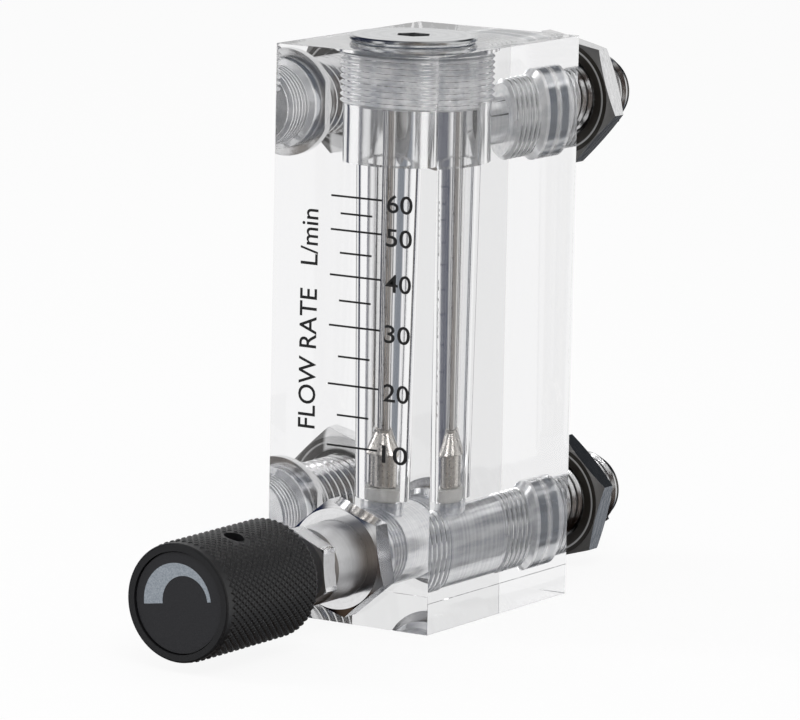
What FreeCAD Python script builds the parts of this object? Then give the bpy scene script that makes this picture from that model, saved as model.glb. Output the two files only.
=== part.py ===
"""Rotameter: a clear meter block with a float on a guide rod, a needle valve and two panel studs.

Millimetres. +Z is up, -Y is the scale face with the valve knob, +Y is the back with the two studs.
The origin is the centre of the block's foot.
"""
import FreeCAD, Part
import math
import os

Vector = FreeCAD.Vector
os.makedirs("parts", exist_ok=True)

# Clearances, all on the radius unless the name says otherwise
thread_clearance = 0.25
slip_clearance = 0.10
ring_clearance = 0.15
orifice_clearance = 0.15
float_rest_gap = 0.15
cap_clearance = 0.30

# Small edges and the overrun of cutting tools
overcut = 1.0
thread_end_edge = 0.8
hex_face_ratio = 0.985
hex_chamfer_angle = 22.0

# Meter block
block_width = 48.0
block_depth = 67.0
block_height = 145.0
block_edge = 0.5

# Float tube bored down the block, widening upwards
tube_setback = 26.0
tube_floor_height = 29.8
tube_floor_d = 15.2
tube_head_d = 18.4
chamber_d = 26.0
chamber_floor_depth = 29.8
feed_d = 12.0

# Screwed plug that closes the tube
plug_thread_d = 28.0
plug_bore_depth = 15.6
plug_thread_length = 12.6
plug_neck_d = 26.2
plug_flange_d = 32.3
plug_flange_height = 1.8
plug_flange_edge = 0.4
plug_key_flats = 8.0
plug_key_depth = 6.0
seal_recess_d = 31.4
seal_recess_depth = 1.8

# Float, its rod and its seat
rod_d = 5.5
rod_tail_d = 3.4
rod_tail_reach = 2.4
rod_grip = 7.0
seat_height = 2.9
seat_spigot_height = 1.5
seat_passage_d = 2.2
seat_passage_circle_d = 8.6
seat_passage_count = 6
float_body_d = 12.0
float_body_height = 8.4
float_rim_d = 14.3
float_rim_height = 0.35
float_cone_height = 5.0
float_crown_d = 7.6
float_crown_height = 0.6
float_foot_edge = 0.4

# Ports: G 1/2 threads in the back face, and one in the front face for the valve
inlet_height = 17.5
outlet_drop = 20.5
port_thread_d = 20.955
port_depth = 21.0
port_recess_depth = 6.0
port_lead_length = 3.0
valve_bore_d = 20.4
valve_port_depth = 20.5

# Panel studs
fitting_end_gap = 0.8
fitting_neck_d = 17.6
fitting_bore_d = 14.0
fitting_collar_d = 28.0
fitting_collar_flats = 25.0
fitting_collar_height = 2.4
fitting_relief_d = 18.6
fitting_relief_length = 1.6
fitting_reach = 52.0
fitting_end_edge = 1.2
orifice_d = 5.0
orifice_land = 6.0
orifice_seat_d = 15.4
ring_section = 2.7

# Panel nuts
nut_standoff = 29.5
nut_flats = 30.8
nut_height = 6.2
nut_countersink = 1.2
outlet_nut_turn = 48.0
inlet_nut_turn = 16.0

# Valve bonnet, packing and gland nut
bonnet_flats = 26.0
bonnet_hex_height = 6.0
bonnet_turn = 40.0
bonnet_collar_d = 19.6
bonnet_collar_length = 13.5
bonnet_collar_edge = 0.5
bonnet_thread_end_gap = 1.0
packing_d = 11.2
packing_height = 4.0
gland_flats = 18.2
gland_height = 5.3
gland_turn = 35.0

# Valve stem with its needle
stem_d = 5.0
stem_grip = 30.0
stem_end_edge = 0.4
stem_travel = 5.0
stem_thread_d = 5.4
stem_thread_length = 16.0
stem_thread_shoulder_gap = 0.6
stem_piston_d = 10.2
stem_piston_length = 9.0
stem_groove_length = 2.4
stem_groove_d = 7.4
needle_shank_d = 6.4
needle_taper_length = 8.0
needle_tip_d = 2.0

# Knob
knob_d = 30.0
knob_length = 40.0
knob_stand_off = 10.5
knob_rim_d = 29.4
knob_rim_length = 2.2
knob_front_edge = 0.5
knob_back_edge = 1.4
knob_bore_end_gap = 0.5
cap_d = 25.4
cap_thickness = 1.0
cap_sink = 0.6
set_screw_d = 5.0
set_screw_length = 6.0
set_screw_turn = 16.0
set_screw_from_front = 18.0
set_screw_key_flats = 2.5
set_screw_key_depth = 2.4

# Places that follow from the sizes
front_y = -block_depth / 2
back_y = block_depth / 2
tube_y = front_y + tube_setback
outlet_height = block_height - outlet_drop
chamber_floor_z = block_height - chamber_floor_depth
plug_bore_z = block_height - plug_bore_depth
seal_floor_z = block_height - seal_recess_depth
port_end_y = back_y - port_depth
valve_port_end_y = front_y + valve_port_depth
seat_top_z = tube_floor_height + seat_height
fitting_start_y = port_end_y + fitting_end_gap
fitting_end_y = back_y + fitting_reach
bonnet_hex_front_y = front_y - bonnet_hex_height
bonnet_front_y = bonnet_hex_front_y - bonnet_collar_length
bonnet_end_y = valve_port_end_y - bonnet_thread_end_gap
packing_floor_y = bonnet_front_y + packing_height
gland_front_y = bonnet_front_y - gland_height
knob_back_y = gland_front_y - knob_stand_off
knob_front_y = knob_back_y - knob_length
male_thread_d = port_thread_d - 2 * thread_clearance
port_recess_d = fitting_neck_d + 2 * (ring_section + 2 * ring_clearance)


def revolved_z(profile):
    """Solid turned about the tube's axis from (radius, height) points."""
    points = [Vector(radius, tube_y, height) for radius, height in profile]
    face = Part.Face(Part.makePolygon(points + points[:1]))
    return face.revolve(Vector(0, tube_y, 0), Vector(0, 0, 1), 360)


def revolved_y(profile, height):
    """Solid turned about a horizontal axis at this height from (radius, y) points."""
    points = [Vector(radius, y, height) for radius, y in profile]
    face = Part.Face(Part.makePolygon(points + points[:1]))
    return face.revolve(Vector(0, 0, height), Vector(0, 1, 0), 360)


def cylinder_y(diameter, start_y, end_y, height):
    """Round bar along Y."""
    return Part.makeCylinder(diameter / 2, end_y - start_y, Vector(0, start_y, height), Vector(0, 1, 0))


def cylinder_z(diameter, bottom, top):
    """Round bar along the tube's axis."""
    return Part.makeCylinder(diameter / 2, top - bottom, Vector(0, tube_y, bottom), Vector(0, 0, 1))


def hexagon_corner(flats):
    """Radius of a hexagon's corners from its size across the flats."""
    return flats / 2 / math.cos(math.pi / 6)


def hexagon_y(flats, start_y, end_y, height, turn):
    """Hexagonal bar along Y with one corner at the angle turn, from +X towards +Z."""
    corner = hexagon_corner(flats)
    points = []
    for step in range(7):
        angle = math.radians(turn + 60 * step)
        points.append(Vector(corner * math.cos(angle), start_y, height + corner * math.sin(angle)))
    face = Part.Face(Part.makePolygon(points))
    return face.extrude(Vector(0, end_y - start_y, 0))


def hex_nut_y(flats, start_y, end_y, height, turn, chamfer_front=True, chamfer_back=True):
    """Hexagon along Y whose corners are cut by cones."""
    face_radius = flats / 2 * hex_face_ratio
    outer_radius = hexagon_corner(flats) + overcut
    cone = (outer_radius - face_radius) * math.tan(math.radians(hex_chamfer_angle))
    profile = [(0, start_y)]
    if chamfer_front:
        profile += [(face_radius, start_y), (outer_radius, start_y + cone)]
    else:
        profile.append((outer_radius, start_y))
    if chamfer_back:
        profile += [(outer_radius, end_y - cone), (face_radius, end_y)]
    else:
        profile.append((outer_radius, end_y))
    profile.append((0, end_y))
    return hexagon_y(flats, start_y, end_y, height, turn).common(revolved_y(profile, height))


def seal_ring_y(inner_d, section, centre_y, height):
    """O-ring about a horizontal axis."""
    ring_radius = inner_d / 2 + section / 2
    return Part.makeTorus(ring_radius, section / 2, Vector(0, centre_y, height), Vector(0, 1, 0))


def port_cut(mouth_y, inward, height, depth):
    """Threaded port with a recess and a lead-in cone, cut from a face in the inward direction."""
    profile = [
        (0, mouth_y - inward),
        (port_recess_d / 2, mouth_y - inward),
        (port_recess_d / 2, mouth_y + inward * port_recess_depth),
        (port_thread_d / 2, mouth_y + inward * (port_recess_depth + port_lead_length)),
        (port_thread_d / 2, mouth_y + inward * depth),
        (0, mouth_y + inward * depth),
    ]
    return revolved_y(profile, height)


def make_meter_block():
    """Clear acrylic block with the float tube, the plug's bore and the three ports."""
    corner = Vector(-block_width / 2, front_y, 0)
    block = Part.makeBox(block_width, block_depth, block_height, corner)
    block = block.makeChamfer(block_edge, block.Edges)
    tube = revolved_z([
        (0, inlet_height),
        (feed_d / 2, inlet_height),
        (feed_d / 2, tube_floor_height),
        (tube_floor_d / 2, tube_floor_height),
        (tube_head_d / 2, chamber_floor_z),
        (chamber_d / 2, chamber_floor_z),
        (chamber_d / 2, plug_bore_z),
        (plug_thread_d / 2, plug_bore_z),
        (plug_thread_d / 2, seal_floor_z),
        (seal_recess_d / 2, seal_floor_z),
        (seal_recess_d / 2, block_height + overcut),
        (0, block_height + overcut),
    ])
    outlet_port = port_cut(back_y, -1, outlet_height, port_depth)
    outlet_feed = cylinder_y(feed_d, tube_y, port_end_y + overcut, outlet_height)
    inlet_port = port_cut(back_y, -1, inlet_height, port_depth)
    valve_port = port_cut(front_y, 1, inlet_height, valve_port_depth)
    valve_bore = cylinder_y(valve_bore_d, valve_port_end_y - overcut, port_end_y + overcut, inlet_height)
    for cut in (tube, outlet_port, outlet_feed, inlet_port, valve_port, valve_bore):
        block = block.cut(cut)
    return block


def make_top_plug():
    """Chrome plug: flange, relieved neck, thread, hexagon key socket and the rod's blind hole."""
    thread_top = plug_bore_z + plug_thread_length
    thread_radius = plug_thread_d / 2 - thread_clearance
    flange_top = block_height + plug_flange_height
    plug = revolved_z([
        (0, plug_bore_z),
        (thread_radius - thread_end_edge, plug_bore_z),
        (thread_radius, plug_bore_z + thread_end_edge),
        (thread_radius, thread_top),
        (plug_neck_d / 2, thread_top),
        (plug_neck_d / 2, block_height),
        (plug_flange_d / 2, block_height),
        (plug_flange_d / 2, flange_top - plug_flange_edge),
        (plug_flange_d / 2 - plug_flange_edge, flange_top),
        (0, flange_top),
    ])
    corner = hexagon_corner(plug_key_flats)
    points = []
    for step in range(7):
        angle = math.radians(60 * step)
        x = corner * math.cos(angle)
        y = tube_y + corner * math.sin(angle)
        points.append(Vector(x, y, flange_top + overcut))
    socket = Part.Face(Part.makePolygon(points)).extrude(Vector(0, 0, -plug_key_depth - overcut))
    rod_hole = cylinder_z(rod_d + 2 * slip_clearance, plug_bore_z - overcut, plug_bore_z + rod_grip)
    return plug.cut(socket).cut(rod_hole)


def make_top_plug_seal():
    """Flat seal in the recess under the plug's flange."""
    outer = cylinder_z(seal_recess_d - 2 * ring_clearance, seal_floor_z, block_height)
    inner = cylinder_z(plug_neck_d + 2 * ring_clearance, seal_floor_z - overcut, block_height + overcut)
    return outer.cut(inner)


def make_guide_rod():
    """Rod from the float's seat up into the plug, with a thin tail through the seat."""
    tail_bottom = tube_floor_height - seat_spigot_height - rod_tail_reach
    rod_top = plug_bore_z + rod_grip
    return revolved_z([
        (0, tail_bottom),
        (rod_tail_d / 2, tail_bottom),
        (rod_tail_d / 2, seat_top_z),
        (rod_d / 2, seat_top_z),
        (rod_d / 2, rod_top),
        (0, rod_top),
    ])


def make_float():
    """Turned float: cylindrical body, sharp reading rim, cone and crown, bored for the rod."""
    foot = seat_top_z + float_rest_gap
    rim = foot + float_body_height
    cone = rim + float_rim_height
    crown = cone + float_cone_height
    top = crown + float_crown_height
    bore_radius = rod_d / 2 + slip_clearance
    return revolved_z([
        (bore_radius, foot),
        (float_body_d / 2 - float_foot_edge, foot),
        (float_body_d / 2, foot + float_foot_edge),
        (float_body_d / 2, rim),
        (float_rim_d / 2, rim),
        (float_rim_d / 2, cone),
        (float_crown_d / 2, crown),
        (float_crown_d / 2, top),
        (bore_radius + float_crown_height, top),
        (bore_radius, crown),
    ])


def make_float_seat():
    """Seat pressed on the tube's floor: a disc, a spigot in the feed bore and a ring of passages."""
    spigot_bottom = tube_floor_height - seat_spigot_height
    seat = revolved_z([
        (rod_tail_d / 2 + slip_clearance, spigot_bottom),
        (feed_d / 2 - ring_clearance, spigot_bottom),
        (feed_d / 2 - ring_clearance, tube_floor_height),
        (tube_floor_d / 2 - ring_clearance, tube_floor_height),
        (tube_floor_d / 2 - ring_clearance, seat_top_z),
        (rod_tail_d / 2 + slip_clearance, seat_top_z),
    ])
    for step in range(seat_passage_count):
        angle = 2 * math.pi * step / seat_passage_count
        x = seat_passage_circle_d / 2 * math.cos(angle)
        y = tube_y + seat_passage_circle_d / 2 * math.sin(angle)
        length = seat_height + seat_spigot_height + 2 * overcut
        passage = Part.makeCylinder(seat_passage_d / 2, length, Vector(x, y, spigot_bottom - overcut))
        seat = seat.cut(passage)
    return seat


def make_fitting(height, inner_profile):
    """Panel stud: thread in the block, neck for the o-ring, collar on the back face, long outer thread."""
    neck_start = back_y - port_recess_depth
    collar_end = back_y + fitting_collar_height
    relief_end = collar_end + fitting_relief_length
    outside = [
        (male_thread_d / 2 - thread_end_edge, fitting_start_y),
        (male_thread_d / 2, fitting_start_y + thread_end_edge),
        (male_thread_d / 2, neck_start),
        (fitting_neck_d / 2, neck_start),
        (fitting_neck_d / 2, back_y),
        (fitting_collar_d / 2, back_y),
        (fitting_collar_d / 2, collar_end),
        (fitting_relief_d / 2, collar_end),
        (fitting_relief_d / 2, relief_end),
        (male_thread_d / 2, relief_end),
        (male_thread_d / 2, fitting_end_y - fitting_end_edge),
        (male_thread_d / 2 - fitting_end_edge, fitting_end_y),
        (fitting_bore_d / 2 + fitting_end_edge, fitting_end_y),
        (fitting_bore_d / 2, fitting_end_y - fitting_end_edge),
    ]
    fitting = revolved_y(outside + inner_profile, height)
    for side in (-1, 1):
        cutter_x = side * (fitting_collar_flats / 2 + fitting_collar_d / 2)
        corner = Vector(cutter_x - fitting_collar_d / 2, back_y - overcut, height - fitting_collar_d / 2)
        cutter_length = fitting_collar_height + 2 * overcut
        cutter = Part.makeBox(fitting_collar_d, cutter_length, fitting_collar_d, corner)
        fitting = fitting.cut(cutter)
    return fitting


def make_outlet_fitting():
    """Upper stud, bored right through."""
    return make_fitting(outlet_height, [(fitting_bore_d / 2, fitting_start_y)])


def make_inlet_fitting():
    """Lower stud, with a pocket in its inner end for the needle's seat."""
    pocket_radius = orifice_seat_d / 2 + slip_clearance
    pocket_end = fitting_start_y + orifice_land
    inner = [(fitting_bore_d / 2, pocket_end), (pocket_radius, pocket_end), (pocket_radius, fitting_start_y)]
    return make_fitting(inlet_height, inner)


def make_orifice_seat():
    """Ring in the lower stud's pocket, whose hole the needle closes."""
    seat_end = fitting_start_y + orifice_land
    ring = cylinder_y(orifice_seat_d, fitting_start_y, seat_end, inlet_height)
    return ring.cut(cylinder_y(orifice_d, fitting_start_y - overcut, seat_end + overcut, inlet_height))


def make_port_ring(height):
    """O-ring round a stud's neck, in the port's recess."""
    centre_y = back_y - ring_section / 2 - ring_clearance
    return seal_ring_y(fitting_neck_d + 2 * ring_clearance, ring_section, centre_y, height)


def make_panel_nut(height, turn):
    """Thin hexagon nut on a stud, countersunk on both faces."""
    near_y = back_y + nut_standoff
    far_y = near_y + nut_height
    nut = hex_nut_y(nut_flats, near_y, far_y, height, turn)
    hole_radius = male_thread_d / 2 + ring_clearance
    hole = revolved_y([
        (0, near_y - overcut),
        (hole_radius + nut_countersink, near_y - overcut),
        (hole_radius + nut_countersink, near_y),
        (hole_radius, near_y + nut_countersink),
        (hole_radius, far_y - nut_countersink),
        (hole_radius + nut_countersink, far_y),
        (hole_radius + nut_countersink, far_y + overcut),
        (0, far_y + overcut),
    ], height)
    return nut.cut(hole)


def make_valve_bonnet():
    """Bonnet screwed into the front port: thread, hexagon, plain collar, packing recess and stem bores."""
    neck_end = front_y + port_recess_depth
    body = revolved_y([
        (0, bonnet_front_y),
        (bonnet_collar_d / 2 - bonnet_collar_edge, bonnet_front_y),
        (bonnet_collar_d / 2, bonnet_front_y + bonnet_collar_edge),
        (bonnet_collar_d / 2, front_y - overcut),
        (fitting_neck_d / 2, front_y - overcut),
        (fitting_neck_d / 2, neck_end),
        (male_thread_d / 2, neck_end),
        (male_thread_d / 2, bonnet_end_y - thread_end_edge),
        (male_thread_d / 2 - thread_end_edge, bonnet_end_y),
        (0, bonnet_end_y),
    ], inlet_height)
    hexagon = hex_nut_y(bonnet_flats, bonnet_hex_front_y, front_y, inlet_height, bonnet_turn, True, False)
    bonnet = body.fuse(hexagon)
    piston_bore_start = stem_piston_start_y() - stem_travel - stem_thread_shoulder_gap
    bores = revolved_y([
        (0, bonnet_front_y - overcut),
        (packing_d / 2, bonnet_front_y - overcut),
        (packing_d / 2, packing_floor_y),
        (stem_thread_d / 2 + slip_clearance, packing_floor_y),
        (stem_thread_d / 2 + slip_clearance, piston_bore_start),
        (stem_piston_d / 2 + slip_clearance, piston_bore_start),
        (stem_piston_d / 2 + slip_clearance, bonnet_end_y + overcut),
        (0, bonnet_end_y + overcut),
    ], inlet_height)
    return bonnet.cut(bores).removeSplitter()


def make_bonnet_oring():
    """O-ring round the bonnet's neck, in the front port's recess."""
    centre_y = front_y + ring_section / 2 + ring_clearance
    return seal_ring_y(fitting_neck_d + 2 * ring_clearance, ring_section, centre_y, inlet_height)


def make_stem_packing():
    """Soft sleeve round the stem, held in the bonnet's mouth by the gland nut."""
    outer = cylinder_y(packing_d - 2 * ring_clearance, bonnet_front_y, packing_floor_y, inlet_height)
    inner_start = bonnet_front_y - overcut
    inner = cylinder_y(stem_d + 2 * slip_clearance, inner_start, packing_floor_y + overcut, inlet_height)
    return outer.cut(inner)


def make_gland_nut():
    """Small hexagon nut that presses the packing."""
    nut = hex_nut_y(gland_flats, gland_front_y, bonnet_front_y, inlet_height, gland_turn, True, False)
    hole_start = gland_front_y - overcut
    hole = cylinder_y(stem_d + 2 * slip_clearance, hole_start, bonnet_front_y + overcut, inlet_height)
    return nut.cut(hole)


def stem_thread_start_y():
    """Front end of the stem's thread, which leaves the travel free behind the packing."""
    return packing_floor_y + stem_travel + stem_thread_shoulder_gap


def stem_piston_start_y():
    """Front end of the stem's guided piston."""
    return stem_thread_start_y() + stem_thread_length


def make_valve_stem():
    """Stem: shank in the knob, thread and grooved piston in the bonnet, and the needle."""
    shank_start = knob_back_y - stem_grip
    thread_start = stem_thread_start_y()
    piston_start = stem_piston_start_y()
    piston_end = piston_start + stem_piston_length
    groove_start = piston_start + (stem_piston_length - stem_groove_length) / 2
    groove_end = groove_start + stem_groove_length
    seat_d = orifice_d - 2 * orifice_clearance
    slope = (needle_shank_d - needle_tip_d) / needle_taper_length
    taper_start = fitting_start_y - (needle_shank_d - seat_d) / slope
    taper_end = taper_start + needle_taper_length
    return revolved_y([
        (0, shank_start),
        (stem_d / 2 - stem_end_edge, shank_start),
        (stem_d / 2, shank_start + stem_end_edge),
        (stem_d / 2, thread_start),
        (stem_thread_d / 2, thread_start),
        (stem_thread_d / 2, piston_start),
        (stem_piston_d / 2, piston_start),
        (stem_piston_d / 2, groove_start),
        (stem_groove_d / 2, groove_start),
        (stem_groove_d / 2, groove_end),
        (stem_piston_d / 2, groove_end),
        (stem_piston_d / 2, piston_end),
        (needle_shank_d / 2, piston_end),
        (needle_shank_d / 2, taper_start),
        (needle_tip_d / 2, taper_end),
        (0, taper_end),
    ], inlet_height)


def make_stem_oring():
    """O-ring in the piston's groove."""
    outer_d = stem_piston_d
    inner_d = stem_groove_d
    section = (outer_d - inner_d) / 2
    centre_y = stem_piston_start_y() + stem_piston_length / 2
    return seal_ring_y(inner_d, section, centre_y, inlet_height)


def set_screw_frame():
    """Middle of the set screw's hole on the stem's axis, and its outward direction."""
    turn = math.radians(set_screw_turn)
    centre = Vector(0, knob_front_y + set_screw_from_front, inlet_height)
    return centre, Vector(math.sin(turn), 0, math.cos(turn))


def make_knob():
    """Turned knob with a plain front rim, a recess for its cap, a stem bore and a set screw hole."""
    recess_depth = cap_thickness + cap_sink
    rim_end = knob_front_y + knob_rim_length
    knob = revolved_y([
        (0, knob_front_y + recess_depth),
        (cap_d / 2, knob_front_y + recess_depth),
        (cap_d / 2, knob_front_y),
        (knob_rim_d / 2 - knob_front_edge, knob_front_y),
        (knob_rim_d / 2, knob_front_y + knob_front_edge),
        (knob_rim_d / 2, rim_end),
        (knob_d / 2, rim_end + (knob_d - knob_rim_d) / 2),
        (knob_d / 2, knob_back_y - knob_back_edge),
        (knob_d / 2 - knob_back_edge, knob_back_y),
        (0, knob_back_y),
    ], inlet_height)
    bore_start = knob_back_y - stem_grip - knob_bore_end_gap
    bore = cylinder_y(stem_d + 2 * slip_clearance, bore_start, knob_back_y + overcut, inlet_height)
    centre, outward = set_screw_frame()
    hole = Part.makeCylinder(set_screw_d / 2 + ring_clearance, knob_d, centre, outward)
    return knob.cut(bore).cut(hole)


def make_knob_cap():
    """Flat disc in the front of the knob."""
    cap_front = knob_front_y + cap_sink
    return cylinder_y(cap_d - 2 * cap_clearance, cap_front, cap_front + cap_thickness, inlet_height)


def make_knob_set_screw():
    """Headless screw that holds the knob on the stem."""
    centre, outward = set_screw_frame()
    foot = centre + outward * (stem_d / 2 + slip_clearance + ring_clearance)
    screw = Part.makeCylinder(set_screw_d / 2, set_screw_length, foot, outward)
    top = foot + outward * set_screw_length
    corner = hexagon_corner(set_screw_key_flats)
    side = Vector(0, 1, 0)
    across = outward.cross(side)
    points = []
    for step in range(7):
        angle = math.radians(60 * step)
        offset = side * (corner * math.cos(angle)) + across * (corner * math.sin(angle))
        points.append(top + outward * overcut + offset)
    socket = Part.Face(Part.makePolygon(points)).extrude(outward * -(set_screw_key_depth + overcut))
    return screw.cut(socket)


nodes = {
    "meter_block": make_meter_block(),
    "top_plug": make_top_plug(),
    "top_plug_seal": make_top_plug_seal(),
    "guide_rod": make_guide_rod(),
    "float": make_float(),
    "float_seat": make_float_seat(),
    "outlet_fitting": make_outlet_fitting(),
    "outlet_oring": make_port_ring(outlet_height),
    "outlet_nut": make_panel_nut(outlet_height, outlet_nut_turn),
    "inlet_fitting": make_inlet_fitting(),
    "orifice_seat": make_orifice_seat(),
    "inlet_oring": make_port_ring(inlet_height),
    "inlet_nut": make_panel_nut(inlet_height, inlet_nut_turn),
    "valve_bonnet": make_valve_bonnet(),
    "bonnet_oring": make_bonnet_oring(),
    "stem_packing": make_stem_packing(),
    "gland_nut": make_gland_nut(),
    "valve_stem": make_valve_stem(),
    "stem_oring": make_stem_oring(),
    "knob": make_knob(),
    "knob_cap": make_knob_cap(),
    "knob_set_screw": make_knob_set_screw(),
}

for name, shape in nodes.items():
    shape.exportStep("parts/" + name + ".step")
    print(name, "solids", len(shape.Solids), "valid", shape.isValid(), "volume", round(shape.Volume, 2))
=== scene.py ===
"""Looks of the clear panel flow meter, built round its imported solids.

Metres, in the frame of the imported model: +Z up along the float's tube, -Y the scale face, +Y the studs.
Sizes named here repeat the ones of the solids. Values ending in _mm are millimetres.
"""

import math

import bmesh
import bpy
from mathutils import Matrix, Vector


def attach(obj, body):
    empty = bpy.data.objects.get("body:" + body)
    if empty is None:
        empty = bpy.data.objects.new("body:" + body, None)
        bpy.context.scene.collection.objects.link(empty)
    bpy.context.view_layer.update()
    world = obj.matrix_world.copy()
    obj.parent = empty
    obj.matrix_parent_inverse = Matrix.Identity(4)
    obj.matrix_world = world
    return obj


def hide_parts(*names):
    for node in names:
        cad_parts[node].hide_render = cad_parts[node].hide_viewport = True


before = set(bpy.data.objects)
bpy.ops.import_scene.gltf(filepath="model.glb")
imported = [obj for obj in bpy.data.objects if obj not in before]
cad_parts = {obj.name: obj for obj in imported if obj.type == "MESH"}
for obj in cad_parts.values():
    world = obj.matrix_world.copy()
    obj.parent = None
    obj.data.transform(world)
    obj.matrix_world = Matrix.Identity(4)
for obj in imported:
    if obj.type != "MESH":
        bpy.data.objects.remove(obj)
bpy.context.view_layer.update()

MM = 0.001
merge_m = 1e-7
smooth_limit = math.radians(13.0)

# Block and its bores
block_width_mm = 48.0
front_mm = -33.5
back_mm = 33.5
block_height_mm = 145.0
block_edge_mm = 0.07
face_gap_mm = 0.03
tube_y_mm = -7.5
tube_floor_mm = 29.8
tube_floor_r_mm = 7.6
tube_head_r_mm = 9.2
chamber_r_mm = 13.0
chamber_floor_mm = 115.2
feed_r_mm = 6.0
plug_bore_mm = 129.4
seal_floor_mm = 143.2
seal_recess_r_mm = 15.7
inlet_z_mm = 17.5
outlet_z_mm = 124.5
port_recess_r_mm = 11.8
port_recess_mm = 6.0
port_lead_mm = 3.0
port_end_mm = 12.5
valve_port_end_mm = -13.0
valve_bore_r_mm = 10.2

# How far cutters run past an open end, into the bore before them, and how their blind ends dip
cut_past_mm = 1.0
feed_overlap_mm = 0.5
chamber_dip_mm = 0.02
bore_dip_mm = 0.1

# Threads of the ports, the plug and the studs' free ends
port_minor_r_mm = 9.35
port_pitch_mm = 2.28
male_crest_r_mm = 10.2275
male_root_r_mm = 9.15
plug_minor_r_mm = 13.1
plug_root_r_mm = 12.9
plug_pitch_mm = 1.5
stud_root_r_mm = 9.0

# Root radius, crest radius, width of the crest and pitch of each
port_groove_mm = (port_minor_r_mm, 10.4775, 0.45, port_pitch_mm)
male_ridge_mm = (male_root_r_mm, male_crest_r_mm, 0.3, port_pitch_mm)
stud_ridge_mm = (stud_root_r_mm, male_crest_r_mm, 0.6, 2.9)
plug_groove_mm = (plug_minor_r_mm, 14.0, 0.25, plug_pitch_mm)
plug_ridge_mm = (plug_root_r_mm, 13.75, 0.2, plug_pitch_mm)
thread_slope = math.tan(math.radians(30))
ridge_overlap_mm = 0.15
steps_per_turn = 64

# How far ridges and grooves stay from the ends of what carries them
groove_clear_mm = 0.6
plug_clear_mm = 0.4
male_clear_mm = 0.8
stud_clear_mm = 0.9
stud_end_clear_mm = 1.1

# Studs
lead_mm = 0.5
fitting_start_mm = 13.3
fitting_end_mm = 85.5
fitting_bore_r_mm = 7.0
fitting_neck_r_mm = 8.8
collar_r_mm = 14.0
collar_half_flats_mm = 12.5
collar_end_mm = 35.9
relief_r_mm = 9.3
relief_end_mm = 37.5
relief_slope_mm = 0.3
pocket_r_mm = 7.8
pocket_end_mm = 19.3
stud_edge_mm = 1.2
stud_tip_mm = 0.2

# Plug
plug_thread_top_mm = 142.0
plug_lead_mm = 0.4
plug_neck_r_mm = 13.1
plug_flange_r_mm = 16.15
plug_top_mm = 146.8
plug_flange_edge_mm = 0.4
plug_undercut_mm = 0.7
plug_undercut_height_mm = 0.8
plug_key_flats_mm = 8.0
plug_key_floor_mm = 140.8
rod_r_mm = 2.85
rod_top_mm = 136.4

# Bonnet
bonnet_front_mm = -53.0
bonnet_hex_front_mm = -39.5
bonnet_end_mm = -14.0
bonnet_collar_r_mm = 9.8
bonnet_flats_mm = 26.0
bonnet_turn = math.radians(40.0)
packing_r_mm = 5.6
packing_floor_mm = -49.0
stem_bore_r_mm = 2.8
piston_bore_start_mm = -33.0
piston_bore_r_mm = 5.2
hex_face_ratio = 0.985
hex_chamfer_slope = math.tan(math.radians(22.0))

# Knob
knob_front_mm = -108.8
knob_back_mm = -68.8
knob_core_r_mm = 14.75
knob_r_mm = 15.0
knob_rim_r_mm = 14.7
knob_rim_mm = 2.2
knob_rim_slope_mm = 0.3
knob_face_edge_mm = 0.15
knob_back_edge_mm = 1.4
knob_back_round_mm = 0.4
knob_bore_mm = 30.5
cap_r_mm = 12.4
cap_recess_r_mm = 12.7
cap_recess_mm = 1.6
cap_face_mm = -108.2
set_screw_turn = math.radians(16.0)
set_screw_place_mm = -90.8
set_screw_hole_r_mm = 2.65
set_screw_hole_mm = (3.0, 18.0)
pips_around = 52
pips_along = 30
pip_height_mm = 0.3
pip_root_mm = 0.05
pip_share = 0.98
pip_top_ratio = 0.46
pips_front_clear_mm = 0.9
pips_back_clear_mm = 0.2
pips_hole_clear_mm = 1.1

# Crescent on the knob's cap, with its radii and their offsets as shares of the cap's radius
crescent_turn = math.radians(-8.0)
crescent_outer = (0.79, -0.03)
crescent_inner = (0.53, 0.15)
crescent_steps = 48
crescent_proud_mm = 0.06
crescent_sunk_mm = 0.1

# Print on the scale face
scale_marks = [
    (60, 108.2), (55, 103.9), (50, 99.7), (45, 93.95), (40, 88.25), (35, 81.9),
    (30, 75.5), (25, 67.75), (20, 60.65), (15, 52.9), (10, 45.1),
]
mark_width_mm = 0.5
long_mark_mm = (-6.85, 8.2)
short_mark_mm = (-4.0, 5.4)
print_lift_mm = 0.04
digit_height_mm = 4.6
number_x_mm = 13.4
number_drop_mm = 0.6
number_length_mm = 7.6
unit_height_mm = 5.2
unit_centre_mm = (-13.1, 76.4)
unit_length_mm = 55.6
letter_weight = 0.008

# Marks on the metal and on the walls of the bores
# The nut sizes place the painted shade on the nuts' near faces
nut_dark_r_mm = (11.6, 12.2)
nut_shade_side_mm = (4.4, 5.4)
nut_face_tilt = (-0.95, -0.8)
port_seal_mm = 30.6
seal_band_mm = (1.5, 1.9)
seal_wall_r_mm = (10.9, 11.3)
acrylic_ior = 1.49
bump_height_m = 0.0001

camera_azimuth = 32.3464


def add_object(name, data):
    """Object at the origin with this data."""
    piece = bpy.data.objects.new(name, data)
    bpy.context.scene.collection.objects.link(piece)
    return piece


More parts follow.
